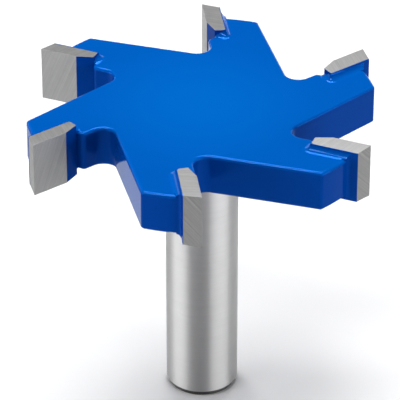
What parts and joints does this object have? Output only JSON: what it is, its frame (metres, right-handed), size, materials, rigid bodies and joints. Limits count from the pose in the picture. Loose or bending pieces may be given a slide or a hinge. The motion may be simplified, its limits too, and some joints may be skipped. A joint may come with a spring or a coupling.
{
  "type": "surfacing router bit",
  "caption": "Flat winged surfacing bit with brazed carbide tips at the rim and a straight ground shank, for levelling slabs and spoilboards with a router.",
  "frame": {"origin": "centre of the shank's end face", "axes": "+Z along the shank, from its end to the cutting face; one rake face meets the rim on -Y"},
  "size_m": [0.0596, 0.0652, 0.0587],
  "materials": {
    "coated_steel": "gloss blue coat on the head, bare ground steel on the shank",
    "carbide": "ground, with fine grinding lines",
    "ground_shank": "ground and polished"
  },
  "bodies": {
    "root": {"tool_body": "coated_steel", "carbide_tip_1": "carbide", "carbide_tip_2": "carbide", "carbide_tip_3": "carbide", "carbide_tip_4": "carbide", "carbide_tip_5": "carbide", "carbide_tip_6": "carbide"}
  },
  "joints": []
}
